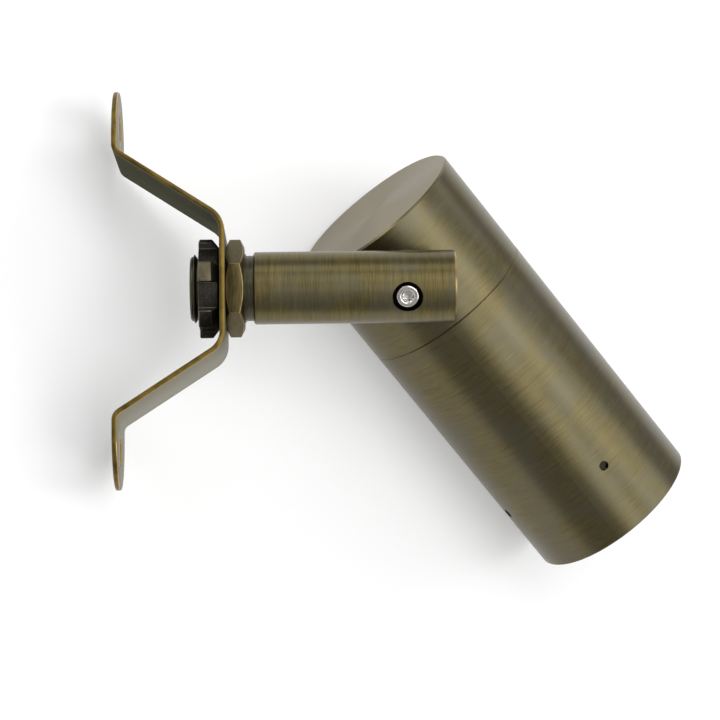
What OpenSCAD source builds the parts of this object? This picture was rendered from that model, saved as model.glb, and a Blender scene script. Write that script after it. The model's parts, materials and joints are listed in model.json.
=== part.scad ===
// Landscape down light: a hat-shaped strap bracket, a turned arm on two nuts,
// and a cylindrical head that tilts on a hollow side spigot.
// The wall or tree is at x = 0, the arm runs along +X and the strap along Z.

/* [Bracket] */
// Width of the strap
strap_w = 34; // [31:1:40]
// Thickness of the strap
strap_t = 1.6; // [1.2:0.1:2.4]
// Distance from the wall to the outer face of the crown
hat_depth = 34; // [30:1:44]
// Overall length of the bent strap
bracket_len = 123; // [118:1:136]
// Distance between the corners where the legs meet the tabs
foot_spread = 79.6; // [74:1:86]
// Distance between the corners where the legs meet the crown
crown_len = 37.6; // [34:1:44]
// Inside radius of the two crown bends
crown_bend_r = 6.5; // [4:0.5:8]
// Inside radius of the two foot bends
foot_bend_r = 2.4; // [1.5:0.1:3.5]
// Distance from a screw slot's centre to the tab's tip
slot_to_tip = 11.5; // [11:0.1:12]
// Length of each screw slot
slot_len = 9.5; // [8:0.5:10.5]
// Width of each screw slot
slot_w = 5.5; // [4:0.5:6]

/* [Stem and nuts] */
// Outer diameter of the threaded stem
stem_d = 21; // [20:0.1:21.4]
// Depth of the thread
thread_depth = 1.1; // [0.8:0.1:1.3]
// Pitch of the thread
thread_pitch = 1.81; // [1.4:0.1:2.2]
// How far the stem stands out behind the locknut
stem_out = 2.7; // [2.2:0.1:6]
// Rounding of the stem's end
stem_nose_r = 1; // [1:0.1:2]
// Diameter of the neck between thread and arm
relief_d = 20; // [16.5:0.5:20.5]
// Length of the neck that shows beside the hex nut
relief_len = 2.8; // [2:0.1:6]
// Diameter of the tenon that is pressed into the arm
tenon_d = 15; // [14:0.5:17]
// Length of the tenon
tenon_len = 12; // [8:0.5:20]
// Width across the flats of the hex nut
hex_af = 26; // [25:0.5:30]
// Thickness of the hex nut
hex_t = 5.6; // [4:0.1:8]
// Turn of the hex nut about the stem
hex_turn = 9; // [-30:1:30]
// Outer diameter of the locknut
lock_d = 30.2; // [28:0.2:34]
// Overall thickness of the locknut
lock_t = 6.6; // [5:0.1:9]
// Thickness of the locknut's lugs
lug_t = 4; // [3:0.1:4.5]
// Number of lugs on the locknut
lug_count = 6; // [4:1:8]
// Angle that one lug takes
lug_angle = 25; // [18:1:30]
// Depth of the notches between the lugs
notch_depth = 2.1; // [1:0.1:2.4]
// Turn of the locknut about the stem
lock_turn = 18; // [-30:1:30]

/* [Arm] */
// Outer diameter of the arm
arm_d = 22.2; // [21.8:0.1:26]
// Length of the arm's plain barrel
arm_len = 61.8; // [52:1:90]
// Distance from the pivot to the arm's free end
pivot_to_end = 15; // [12:0.5:20]
// Diameter of the wire bore
wire_bore_d = 11; // [8:0.5:11]
// Chamfer at both ends of the arm
arm_chamfer = 0.5; // [0.2:0.1:1]

/* [Knuckle] */
// Turn of the pivot axis about the arm, as the lamp hangs at rest
rest_pan = 27; // [0:1:60]
// Angle between arm and head, as the lamp hangs at rest
rest_tilt = 52.6; // [-80:1:80]
// Diameter of the boss on the head
boss_d = 15.5; // [15:0.1:17]
// Free space between the arm and the head
head_gap = 2.4; // [1.5:0.1:6]
// Distance from the arm's axis to the flat seat in its back
seat_z = 7.5; // [7.2:0.1:8.5]
// Diameter of the hollow spigot
spigot_d = 12; // [11.6:0.1:12.6]
// Bore of the hollow spigot
spigot_bore_d = 7.2; // [6.6:0.1:7.6]
// Diameter of the annular wire space round the spigot
wire_space_d = 15; // [14:0.5:15]
// Thickness of the friction washer
washer_t = 0.8; // [0.5:0.1:1.2]
// Thickness of the O-ring on the spigot
pivot_ring_t = 1.2; // [1:0.1:1.3]
// Diameter of the counterbore for the screw head
cbore_d = 9.3; // [8.6:0.1:10]
// How far the screw head lies under the arm's crown
head_sink = 0.9; // [0.4:0.1:1.2]
// Metal between the counterbore and the spigot
web_t = 2.1; // [1.6:0.1:2.3]

/* [Pivot screw] */
// Nominal diameter of the pivot screw
screw_d = 4; // [3:0.5:4]
// Diameter of its round head
screw_head_d = 7; // [6:0.1:7.4]
// Height of its head
screw_head_h = 4; // [3.4:0.1:4.2]
// Length of its shank
screw_len = 8; // [7:0.5:9]
// Width across the flats of its hexagon socket
socket_af = 3; // [2:0.5:3]
// Depth of its hexagon socket
socket_depth = 2.2; // [1.5:0.1:2.6]
// Thickness of the split washer under its head
split_t = 0.9; // [0.6:0.1:1]
// Outer diameter of the split washer
split_d = 7.6; // [7:0.1:8]

/* [Head] */
// Outer diameter of the head
head_d = 57; // [56:0.5:64]
// Overall length of the head
head_len = 128.4; // [124:1:150]
// Distance from the back face to the pivot axis
back_to_pivot = 14.8; // [13:0.1:17]
// Length of the rear housing up to the seam
housing_len = 37.8; // [35:0.2:42]
// Thickness of the back wall
back_wall = 4; // [3:0.5:5]
// Length of the threaded neck inside the barrel
neck_len = 12; // [9:0.5:16]
// Bore of the rear housing
housing_bore_d = 45; // [43:0.5:46]
// Bore of the barrel
barrel_bore_d = 52; // [51.6:0.2:52.4]
// Edge chamfer of the head
head_chamfer = 0.6; // [0.3:0.1:1]
// Chamfer on each side of the seam
seam_chamfer = 0.25; // [0.1:0.05:0.5]
// Thickness of the O-ring at the seam
seam_ring_t = 1.6; // [1.2:0.1:2]

/* [Lens] */
// Depth of the shroud from the front rim to the lens lip
shroud_depth = 32; // [28:1:36]
// Thickness of the lens lip
lip_t = 1.5; // [1:0.1:2]
// Clear diameter inside the lens lip
lip_bore_d = 46.6; // [44:0.2:48]
// Thickness of the lens
lens_t = 4; // [3:0.1:5]
// Thickness of the lens gasket
gasket_t = 1; // [0.6:0.1:1.5]
// Width of the lens gasket
gasket_w = 2.2; // [1.6:0.1:2.4]
// Thickness of the snap ring
snap_t = 1.3; // [1:0.1:1.6]
// Width of the snap ring
snap_w = 2.6; // [2:0.1:3]
// Depth of the snap ring's groove
snap_groove = 1; // [0.6:0.1:1.2]
// Distance from the front rim to the weep holes
weep_to_rim = 22.9; // [14:0.5:25]
// Diameter of each weep hole
weep_d = 3.2; // [2:0.2:4]
// Number of weep holes
weep_count = 4; // [2:1:6]
// Turn of the weep holes about the head's axis
weep_turn = -21.7; // [-45:1:45]

/* [Lamp] */
// Length of the lamp without its pins
lamp_len = 38.5; // [36:0.5:42]
// Diameter of the lamp's front rim
lamp_d = 50; // [49:0.2:50.6]
// Diameter of the reflector's neck
lamp_neck_d = 19; // [17:0.5:21]
// Thickness of the reflector glass
reflector_t = 1.4; // [1:0.1:1.8]
// Height of the reflector's straight front rim
lamp_rim_h = 3; // [2:0.2:4]
// Thickness of the lamp's cover glass
cover_t = 1.1; // [0.8:0.1:1.4]
// Length of the ceramic lamp base
base_len = 11; // [9:0.5:13]
// Width of the ceramic lamp base
base_w = 17; // [15:0.5:18]
// Thickness of the ceramic lamp base
base_d = 10; // [8:0.5:11]
// Diameter of the quartz capsule
capsule_d = 8; // [6:0.5:9]
// Length of the quartz capsule past the base
capsule_len = 16; // [12:0.5:20]
// Distance between the lamp's two pins
pin_spacing = 5.33; // [4:0.1:6]
// Diameter of the lamp's pins
pin_d = 1.5; // [1.2:0.1:1.6]
// Length of the lamp's pins
pin_len = 7; // [6:0.5:8]

/* [Lamp holder] */
// Thickness of the holder plate
plate_t = 1.2; // [1:0.1:1.6]
// Distance from the back face to the holder plate
plate_s = 25; // [24:0.5:26]
// Thickness of the ceramic lamp holder
holder_t = 10; // [9:0.5:11]
// Width of the ceramic lamp holder
holder_w = 24; // [23:0.5:27]
// Depth of the ceramic lamp holder
holder_d = 15; // [13:0.5:17]
// Distance between the two rivets
rivet_spacing = 17; // [16:0.5:18]
// Diameter of the rivets
rivet_d = 3; // [2:0.2:3]
// Distance between the two screw posts in the housing
post_spacing = 34; // [32:0.5:35]
// Diameter of the screw posts
post_d = 7; // [6:0.5:8]
// Diameter of the plate screws
plate_screw_d = 3; // [2.5:0.5:3]
// Length of the plate screws
plate_screw_len = 8; // [6:0.5:10]

/* [Wiring] */
// Diameter of each insulated lead
lead_d = 1.5; // [1.2:0.1:1.6]
// Outer diameter of the grommet's flange
grommet_flange_d = 14; // [13:0.5:14.5]
// Thickness of the grommet's flange
grommet_flange_t = 1.4; // [1:0.1:2]
// Length of the grommet's plug inside the wire bore
grommet_plug_len = 4; // [3:0.5:6]
// Hole in the grommet for the supply cord
cord_hole_d = 6.4; // [5:0.2:6.8]

/* [Clearances] */
// Radial gap of a turning or screwed fit
fit_gap = 0.05; // [0.02:0.01:0.09]
// Gap round a loose part
loose_gap = 0.3; // [0.2:0.05:0.4]
// Gap between the boss and the edge of its seat
seat_gap = 0.6; // [0.4:0.05:0.8]

/* [Hidden] */
$fn = 96;

brass = [0.44, 0.40, 0.28];
dark_brass = [0.36, 0.30, 0.18];
steel = [0.78, 0.77, 0.75];
black = [0.10, 0.10, 0.10];
ceramic = [0.90, 0.88, 0.83];
glass = [0.80, 0.90, 0.92, 0.6];

// How far a cutter reaches past the face that it opens
over = 1;
// Small chamfer that takes the sharpness off an edge
edge = 0.3;

// Strap: the leg's slope and the places of the slots
slot_z = bracket_len / 2 - slot_to_tip;
slot_end_z = (slot_len - slot_w) / 2;

// Stations along the arm's axis
crown_back_x = hat_depth - strap_t;
leg_angle = atan2((foot_spread - crown_len) / 2, crown_back_x);
lock_x = crown_back_x - lock_t;
stem_end_x = lock_x - stem_out;
hex_end_x = hat_depth + hex_t;
thread_end_x = hex_end_x + 0.25 * thread_pitch;
shoulder_x = hex_end_x + relief_len;
arm_end_x = shoulder_x + arm_len;
pivot_x = arm_end_x - pivot_to_end;
stem_r = stem_d / 2;
arm_r = arm_d / 2;
wire_bore_r = wire_bore_d / 2;

// Heights along the pivot axis, from the arm's axis towards the head
head_r = head_d / 2;
head_offset = arm_r + head_gap + head_r;
screw_top_z = head_sink - arm_r;
screw_under_z = screw_top_z + screw_head_h;
cbore_floor_z = screw_under_z + split_t;
spigot_tip_z = cbore_floor_z + web_t + loose_gap;
boss_face_z = seat_z + washer_t;
spigot_r = spigot_d / 2;
spigot_bore_r = spigot_bore_d / 2;
screw_tip_z = screw_under_z + screw_len;
tap_end_z = screw_tip_z - 0.3;
seal_groove_w = pivot_ring_t + 0.4;
seal_land = 0.6;
seal_z = seat_z - seal_land - seal_groove_w / 2;
wire_space_top_z = seal_z - seal_groove_w / 2 - seal_land;
wire_space_low_z = tap_end_z - 0.4;
window_inset = 0.4;

// Leads where they leave the spigot
lead_r = lead_d / 2;
lead_y = lead_r + 0.35;
lead_z = (wire_space_low_z + wire_space_top_z) / 2;
lead_cut = 0.6;

// Stations along the head's axis, from the back face
neck_r = barrel_bore_d / 2 - fit_gap;
lip_s = head_len - shroud_depth;
gasket_s = lip_s - lip_t - gasket_t;
lens_s = gasket_s - lens_t;
snap_s = lens_s - snap_t;
weep_s = head_len - weep_to_rim;
holder_s = plate_s + plate_t;
lamp_s = holder_s + holder_t;
reflector_s = lamp_s + base_len;
lamp_front_s = lamp_s + lamp_len;
rivet_rim_t = 0.8;
cover_sink = 0.4;
seam_groove_w = seam_ring_t + 0.6;
seam_groove_s = housing_len + seam_ring_t;

// Places a body of revolution, drawn as [radius, station], along +X
module turned(profile) {
  rotate([0, 90, 0])
    rotate_extrude()
      polygon(profile);
}

// A plain rod along +X from one station to another
module rod_x(r, from, to) {
  translate([from, 0, 0])
    rotate([0, 90, 0])
      cylinder(r = r, h = to - from);
}

// A ring of rectangular section along +X
module ring_x(outer_r, inner_r, from, to) {
  turned([[inner_r, from], [outer_r, from], [outer_r, to], [inner_r, to]]);
}

// The pivot's own frame: x along the arm, z from the arm towards the head
module knuckle_frame() {
  translate([pivot_x, 0, 0])
    rotate([rest_pan - 90, 0, 0])
      children();
}

// The head's own frame: x from the back face to the front rim, z away from the arm
module head_frame() {
  knuckle_frame()
    translate([0, 0, head_offset])
      rotate([0, 0, rest_tilt])
        translate([-back_to_pivot, 0, 0])
          children();
}

// Route with each corner cut back, so that a wire bends gently
function eased(route) =
  concat([route[0]],
         [for (i = [0 : len(route) - 2])
           each [0.75 * route[i] + 0.25 * route[i + 1], 0.25 * route[i] + 0.75 * route[i + 1]]],
         [route[len(route) - 1]]);

function unit(v) = v / norm(v);

// One side direction per ring, each carried over from the ring before
function carried(dirs, side, i = 0) =
  i == len(dirs) ? [] :
  let (next = unit(side - (side * dirs[i]) * dirs[i]))
  concat([next], carried(dirs, next, i + 1));

// A wire of radius r along a route, as one tube
module wire(route, r) {
  sides = 10;
  centres = eased(route);
  last = len(centres) - 1;
  dirs = [for (i = [0 : last]) unit(centres[min(i + 1, last)] - centres[max(i - 1, 0)])];
  across = carried(dirs, [0, 0, 1]);
  rings = [for (i = [0 : last])
            for (k = [0 : sides - 1])
              let (a = 360 * k / sides)
              centres[i] + r * (cos(a) * across[i] + sin(a) * cross(dirs[i], across[i]))];
  walls = [for (i = [0 : last - 1])
            for (k = [0 : sides - 1])
              let (a = i * sides + k, b = i * sides + (k + 1) % sides)
              each [[a, a + sides, b + sides], [a, b + sides, b]]];
  start_cap = [for (k = [0 : sides - 1]) k];
  end_cap = [for (k = [sides - 1 : -1 : 0]) last * sides + k];
  polyhedron(rings, concat([start_cap], walls, [end_cap]));
}

// One side line of the bent strap, as a bend of radius r round each corner
function bend(corner, from_dir, to_dir, r) =
  let (turn = cross(from_dir, to_dir) > 0 ? 1 : -1,
       sweep = acos(from_dir * to_dir),
       start = corner - r * tan(sweep / 2) * from_dir,
       centre = start + turn * r * [-from_dir[1], from_dir[0]],
       v = start - centre,
       steps = 10)
  [for (i = [0 : steps])
    let (a = turn * sweep * i / steps)
    centre + [v[0] * cos(a) - v[1] * sin(a), v[0] * sin(a) + v[1] * cos(a)]];

// Upper half of the strap's side view, from the tab's tip to the crown's middle,
// on a line that lies d inside the metal from its wall side
function half_strap(d) =
  let (leg = [cos(leg_angle), -sin(leg_angle)],
       normal = [sin(leg_angle), cos(leg_angle)],
       down = [0, -1],
       foot_z = foot_spread / 2,
       crown_z = crown_len / 2,
       foot = [d, foot_z + (d - normal[0] * d) / normal[1]],
       crown = [crown_back_x + d, crown_z + (d - normal[0] * d) / normal[1]])
  concat([[d, bracket_len / 2]],
         bend(foot, down, leg, foot_bend_r + (strap_t - d)),
         bend(crown, leg, down, crown_bend_r + d),
         [[crown_back_x + d, 0]]);

function reversed(points) = [for (i = [len(points) - 1 : -1 : 0]) points[i]];

function mirrored(points) = [for (p = reversed(points)) [p[0], -p[1]]];

module mounting_bracket() {
  tip_r = strap_w / 2;
  tip_z = bracket_len / 2 - tip_r;
  room_side = half_strap(strap_t);
  wall_side = half_strap(0);
  outline = concat(room_side, mirrored(room_side), reversed(mirrored(wall_side)), reversed(wall_side));
  color(brass)
    difference() {
      intersection() {
        rotate([90, 0, 0])
          linear_extrude(2 * strap_w, center = true)
            polygon(outline);
        union() {
          translate([-over, -tip_r, -tip_z])
            cube([hat_depth + 2 * over, strap_w, 2 * tip_z]);
          for (side = [-1, 1])
            translate([0, 0, side * tip_z])
              rod_x(tip_r, -over, hat_depth + over);
        }
      }
      rod_x(stem_r + 2 * fit_gap, crown_back_x - over, hat_depth + over);
      for (side = [-1, 1])
        translate([0, 0, side * slot_z]) {
          for (end = [-1, 1])
            translate([0, 0, end * slot_end_z])
              rod_x(slot_w / 2, -over, strap_t + over);
          translate([-over, -slot_w / 2, -slot_end_z])
            cube([strap_t + 2 * over, slot_w, 2 * slot_end_z]);
        }
    }
}

// Ring-shaped thread ridges, from the stem's nose to the relief
function thread_profile(from, to) =
  let (count = floor((to - from) / thread_pitch),
       crest = thread_pitch / 8,
       root_r = stem_r - thread_depth)
  concat([for (i = [0 : count - 1])
           let (x = from + i * thread_pitch)
           each [[stem_r, x], [stem_r, x + crest],
                 [root_r, x + thread_pitch / 2], [root_r, x + thread_pitch / 2 + crest]]],
         [[stem_r, from + count * thread_pitch], [stem_r, to]]);

// Hollow stem with a plain neck and a tenon
module threaded_stem() {
  nose = [for (a = [0 : 15 : 90])
           [stem_r - thread_depth / 2 - stem_nose_r * (1 - sin(a)),
            stem_end_x + stem_nose_r * (1 - cos(a))]];
  relief_r = relief_d / 2;
  tenon_r = tenon_d / 2;
  tenon_end_x = shoulder_x + tenon_len;
  outline = concat([[wire_bore_r, stem_end_x]], nose,
                   thread_profile(stem_end_x + stem_nose_r + thread_pitch / 8, thread_end_x),
                   [[relief_r, thread_end_x], [relief_r, shoulder_x], [tenon_r, shoulder_x],
                    [tenon_r, tenon_end_x], [wire_bore_r, tenon_end_x]]);
  color(brass)
    difference() {
      turned(outline);
      rod_x(grommet_flange_d / 2 + fit_gap, stem_end_x - over, stem_end_x + grommet_flange_t);
    }
}

// Turned arm with the knuckle's seat at the back and the screw's counterbore in front
module arm() {
  tenon_end_x = shoulder_x + tenon_len;
  reach = 2 * arm_r;
  color(brass)
    difference() {
      turned([[0, shoulder_x], [arm_r - arm_chamfer, shoulder_x], [arm_r, shoulder_x + arm_chamfer],
              [arm_r, arm_end_x - arm_chamfer], [arm_r - arm_chamfer, arm_end_x], [0, arm_end_x]]);
      rod_x(tenon_d / 2 + fit_gap, shoulder_x - over, tenon_end_x);
      rod_x(wire_bore_r, shoulder_x, pivot_x - spigot_r + over / 2);
      knuckle_frame() {
        translate([0, 0, seat_z])
          cylinder(r = boss_d / 2 + seat_gap, h = reach);
        translate([0, 0, spigot_tip_z - loose_gap])
          cylinder(r = spigot_r + fit_gap, h = reach);
        translate([0, 0, wire_space_low_z])
          cylinder(d = wire_space_d, h = wire_space_top_z - wire_space_low_z);
        translate([0, 0, cbore_floor_z - reach])
          cylinder(d = cbore_d, h = reach);
        translate([0, 0, cbore_floor_z - over])
          cylinder(r = screw_d / 2 + loose_gap, h = web_t + 2 * over);
      }
    }
}

// Double-chamfered hexagon nut
module hex_nut() {
  flat_r = hex_af / 2;
  corner_r = flat_r / cos(30);
  face_r = flat_r - 1.3 * edge;
  drop = 0.6 * (corner_r - flat_r);
  color(dark_brass)
    difference() {
      intersection() {
        translate([hat_depth, 0, 0])
          rotate([hex_turn, 0, 0])
            rotate([0, 90, 0])
              cylinder(r = corner_r, h = hex_t, $fn = 6);
        turned([[0, hat_depth], [face_r, hat_depth], [corner_r, hat_depth + drop],
                [corner_r, hex_end_x - drop], [face_r, hex_end_x], [0, hex_end_x]]);
      }
      rod_x(stem_r + fit_gap, hat_depth - over, hex_end_x + over);
    }
}

// Notched locknut with a cone towards the strap
module locknut() {
  outer_r = lock_d / 2;
  lug_end_x = lock_x + lug_t;
  foot_r = stem_r + 1.4;
  half_gap = 180 / lug_count - lug_angle / 2;
  reach = 1.5 * outer_r;
  color(black)
    difference() {
      turned([[0, lock_x], [outer_r - edge, lock_x], [outer_r, lock_x + edge], [outer_r, lug_end_x],
              [foot_r, crown_back_x], [0, crown_back_x]]);
      for (i = [0 : lug_count - 1])
        rotate([lock_turn + (i + 0.5) * 360 / lug_count, 0, 0])
          difference() {
            rotate([90, 0, 90])
              linear_extrude(crown_back_x + over)
                polygon([[0, 0], reach * [sin(half_gap), -cos(half_gap)],
                         reach * [-sin(half_gap), -cos(half_gap)]]);
            rod_x(outer_r - notch_depth, -over, crown_back_x + 2 * over);
          }
      rod_x(stem_r + fit_gap, lock_x - over, crown_back_x + over);
    }
}

module cord_grommet() {
  flange_end_x = stem_end_x + grommet_flange_t;
  plug_r = wire_bore_r - fit_gap;
  hole_r = cord_hole_d / 2;
  color(black)
    turned([[hole_r, stem_end_x], [grommet_flange_d / 2, stem_end_x], [grommet_flange_d / 2, flange_end_x],
            [plug_r, flange_end_x], [plug_r, flange_end_x + grommet_plug_len],
            [hole_r, flange_end_x + grommet_plug_len]]);
}

module friction_washer() {
  color(black)
    knuckle_frame()
      translate([0, 0, seat_z])
        difference() {
          cylinder(d = boss_d, h = washer_t);
          translate([0, 0, -over])
            cylinder(r = spigot_r + 2 * fit_gap, h = washer_t + 2 * over);
        }
}

// The supply pair, from the grommet to the knuckle
module arm_leads() {
  bed_z = sqrt(pow(wire_bore_r - lead_r - loose_gap, 2) - pow(lead_y, 2));
  start_x = stem_end_x + grommet_flange_t + grommet_plug_len + loose_gap - pivot_x;
  color(black)
    knuckle_frame()
      for (side = [-1, 1])
        wire([[start_x, side * lead_y, bed_z], [-spigot_r - 8, side * lead_y, bed_z],
              [-spigot_r - 4, side * lead_y, lead_z], [-spigot_r - lead_cut, side * lead_y, lead_z]],
             lead_r);
}

// Closed back shell with the side boss, the hollow spigot and the threaded neck
module rear_housing() {
  neck_end_s = housing_len + neck_len;
  groove_r = neck_r - seam_ring_t;
  window_w = 2 * (lead_y + lead_r + window_inset);
  color(brass)
    difference() {
      union() {
        difference() {
          union() {
            head_frame()
              turned([[0, 0], [head_r - head_chamfer, 0], [head_r, head_chamfer],
                      [head_r, housing_len - seam_chamfer], [head_r - seam_chamfer, housing_len],
                      [neck_r, housing_len], [neck_r, seam_groove_s], [groove_r, seam_groove_s],
                      [groove_r, seam_groove_s + seam_groove_w], [neck_r, seam_groove_s + seam_groove_w],
                      [neck_r, neck_end_s - edge], [neck_r - edge, neck_end_s], [0, neck_end_s]]);
            knuckle_frame()
              translate([0, 0, boss_face_z])
                cylinder(d = boss_d, h = head_offset - boss_face_z);
          }
          head_frame()
            rod_x(housing_bore_d / 2, back_wall, neck_end_s + over);
        }
        knuckle_frame()
          translate([0, 0, spigot_tip_z])
            cylinder(r = spigot_r, h = boss_face_z - spigot_tip_z + over);
        head_frame()
          for (side = [-1, 1])
            translate([0, side * post_spacing / 2, 0])
              rod_x(post_d / 2, back_wall - over, plate_s);
      }
      knuckle_frame() {
        translate([0, 0, tap_end_z])
          cylinder(r = spigot_bore_r, h = head_offset - tap_end_z);
        translate([0, 0, spigot_tip_z - over])
          cylinder(r = screw_d / 2 + fit_gap, h = tap_end_z - spigot_tip_z + 2 * over);
        translate([-spigot_r - over, -window_w / 2, wire_space_low_z + window_inset])
          cube([spigot_r + over, window_w, wire_space_top_z - wire_space_low_z - 2 * window_inset]);
        translate([0, 0, seal_z - seal_groove_w / 2])
          difference() {
            cylinder(r = spigot_r + over, h = seal_groove_w);
            cylinder(r = spigot_r - pivot_ring_t, h = seal_groove_w);
          }
      }
      head_frame()
        for (side = [-1, 1])
          translate([0, side * post_spacing / 2, 0])
            rod_x(plate_screw_d / 2 + fit_gap, holder_s - plate_screw_len - over, plate_s + over);
    }
}

// Socket-head cap screw, its head flush with the arm
module pivot_screw() {
  head_r = screw_head_d / 2;
  socket_r = socket_af / 2 / cos(30);
  mouth_r = socket_af / 2 + 0.65;
  mouth_h = 0.6;
  color(steel)
    knuckle_frame()
      difference() {
        union() {
          translate([0, 0, screw_top_z])
            rotate_extrude()
              polygon([[0, 0], [head_r - edge, 0], [head_r, edge], [head_r, screw_head_h], [0, screw_head_h]]);
          translate([0, 0, screw_under_z - over])
            cylinder(d = screw_d, h = screw_len + over);
        }
        translate([0, 0, screw_top_z - over])
          cylinder(r = socket_r, h = socket_depth + over, $fn = 6);
        translate([0, 0, screw_top_z])
          rotate_extrude()
            polygon([[0, -over], [mouth_r, -over], [mouth_r, 0], [mouth_r - mouth_h, mouth_h], [0, mouth_h]]);
      }
}

module split_washer() {
  split_w = 0.5;
  color(steel)
    knuckle_frame()
      translate([0, 0, screw_under_z])
        difference() {
          cylinder(d = split_d, h = split_t);
          translate([0, 0, -over])
            cylinder(r = screw_d / 2 + fit_gap, h = split_t + 2 * over);
          rotate([0, 0, 70])
            translate([0, -split_w / 2, -over])
              cube([split_d, split_w, split_t + 2 * over]);
        }
}

// O-ring of round section, lying in a groove
module o_ring(outer_r, section) {
  rotate_extrude()
    translate([outer_r - section / 2, 0])
      circle(d = section, $fn = 32);
}

module pivot_seal() {
  color(black)
    knuckle_frame()
      translate([0, 0, seal_z])
        o_ring(spigot_r, pivot_ring_t);
}

module seam_seal() {
  color(black)
    head_frame()
      translate([seam_groove_s + seam_groove_w / 2, 0, 0])
        rotate([0, 90, 0])
          o_ring(neck_r, seam_ring_t);
}

// Round plate that carries the lamp holder on the two posts
module holder_plate() {
  plate_r = housing_bore_d / 2 - loose_gap;
  lead_hole_r = pin_spacing / 2 + lead_r + 2 * loose_gap;
  color(steel)
    head_frame()
      difference() {
        rod_x(plate_r, plate_s, holder_s);
        rod_x(lead_hole_r, plate_s - over, holder_s + over);
        for (side = [-1, 1]) {
          translate([0, side * post_spacing / 2, 0])
            rod_x(plate_screw_d / 2 + fit_gap, plate_s - over, holder_s + over);
          translate([0, 0, side * rivet_spacing / 2])
            rod_x(rivet_d / 2 + fit_gap, plate_s - over, holder_s + over);
        }
      }
}

// Slotted pan-head screws that hold the plate
module plate_screws() {
  pan_r = 0.9 * plate_screw_d;
  pan_h = 0.6 * plate_screw_d;
  slit_w = 0.2 * plate_screw_d;
  color(steel)
    head_frame()
      for (side = [-1, 1])
        translate([0, side * post_spacing / 2, 0])
          difference() {
            union() {
              rod_x(plate_screw_d / 2, holder_s - plate_screw_len, holder_s + pan_h / 2);
              rod_x(pan_r, holder_s, holder_s + pan_h);
            }
            translate([holder_s + pan_h / 2, -slit_w / 2, -pan_r - over])
              cube([pan_h, slit_w, 2 * (pan_r + over)]);
          }
}

// Ceramic holder with two contact holes
module lamp_holder() {
  pin_end_s = lamp_s - pin_len;
  color(ceramic)
    head_frame()
      difference() {
        translate([holder_s, -holder_d / 2, -holder_w / 2])
          cube([holder_t, holder_d, holder_w]);
        for (side = [-1, 1]) {
          translate([0, side * pin_spacing / 2, 0]) {
            rod_x(pin_d / 2 + fit_gap, pin_end_s - loose_gap, lamp_s + over);
            rod_x(lead_r + fit_gap, holder_s - over, pin_end_s - 2 * loose_gap);
          }
          translate([0, 0, side * rivet_spacing / 2])
            rod_x(rivet_d / 2 + fit_gap, holder_s - over, lamp_s + over);
        }
      }
}

// Tubular rivets through holder and plate
module holder_rivets() {
  rim_r = 0.85 * rivet_d;
  color(steel)
    head_frame()
      for (side = [-1, 1])
        translate([0, 0, side * rivet_spacing / 2])
          difference() {
            union() {
              rod_x(rivet_d / 2, plate_s - rivet_rim_t, lamp_s + rivet_rim_t);
              rod_x(rim_r, plate_s - rivet_rim_t, plate_s);
              rod_x(rim_r, lamp_s, lamp_s + rivet_rim_t);
            }
            rod_x(rivet_d / 4, lamp_s - over, lamp_s + rivet_rim_t + over);
          }
}

// A point of the head's frame, seen in the pivot's frame
function in_knuckle(p) =
  let (x = p[0] - back_to_pivot)
  [x * cos(rest_tilt) - p[1] * sin(rest_tilt), x * sin(rest_tilt) + p[1] * cos(rest_tilt),
   p[2] + head_offset];

// The pair from the lamp holder, down through the spigot to its side window
module head_leads() {
  bore_mouth_z = spigot_bore_r - head_r;
  color(black)
    knuckle_frame()
      for (side = [-1, 1])
        wire([in_knuckle([lamp_s - pin_len - 3 * loose_gap, side * pin_spacing / 2, 0]),
              in_knuckle([plate_s - 2, side * pin_spacing / 2, 0]),
              in_knuckle([back_to_pivot + 3, side * lead_y, -5]),
              in_knuckle([back_to_pivot, side * lead_y, bore_mouth_z + 8]),
              in_knuckle([back_to_pivot, side * lead_y, bore_mouth_z + 2]),
              [0, side * lead_y, boss_face_z],
              [0, side * lead_y, lead_z + 1], [-2, side * lead_y, lead_z],
              [-spigot_r + lead_cut, side * lead_y, lead_z]], lead_r);
}

// Flat-sided ceramic base of the lamp
module lamp_base() {
  color(ceramic)
    head_frame()
      difference() {
        intersection() {
          rod_x(base_w / 2, lamp_s + rivet_rim_t + fit_gap, reflector_s);
          translate([lamp_s, -base_w, -base_d / 2])
            cube([base_len + over, 2 * base_w, base_d]);
        }
        for (side = [-1, 1])
          translate([0, side * pin_spacing / 2, 0])
            rod_x(pin_d / 2 + fit_gap, lamp_s, lamp_s + base_len / 2);
      }
}

module lamp_pins() {
  color(steel)
    head_frame()
      for (side = [-1, 1])
        translate([0, side * pin_spacing / 2, 0])
          rod_x(pin_d / 2, lamp_s - pin_len, lamp_s + base_len / 2);
}

// Radius of the bowl at a share t of its length
function bowl_r(t) = lamp_neck_d / 2 + (lamp_d - lamp_neck_d) / 2 * sqrt(1 - pow(1 - t, 2));

module lamp_reflector() {
  rim_r = lamp_d / 2;
  bowl_end_s = lamp_front_s - lamp_rim_h;
  floor_s = reflector_s + reflector_t;
  steps = 14;
  outer = [for (i = [0 : steps])
            [bowl_r(i / steps), reflector_s + (bowl_end_s - reflector_s) * i / steps]];
  inner = [for (i = [steps : -1 : 0])
            [bowl_r(i / steps) - reflector_t, floor_s + (bowl_end_s - floor_s) * i / steps]];
  color(glass)
    head_frame()
      difference() {
        turned(concat([[0, reflector_s]], outer,
                      [[rim_r, lamp_front_s], [rim_r - reflector_t, lamp_front_s]],
                      inner, [[0, floor_s]]));
        rod_x(capsule_d / 2 + fit_gap, reflector_s - over, floor_s + over);
      }
}

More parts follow.
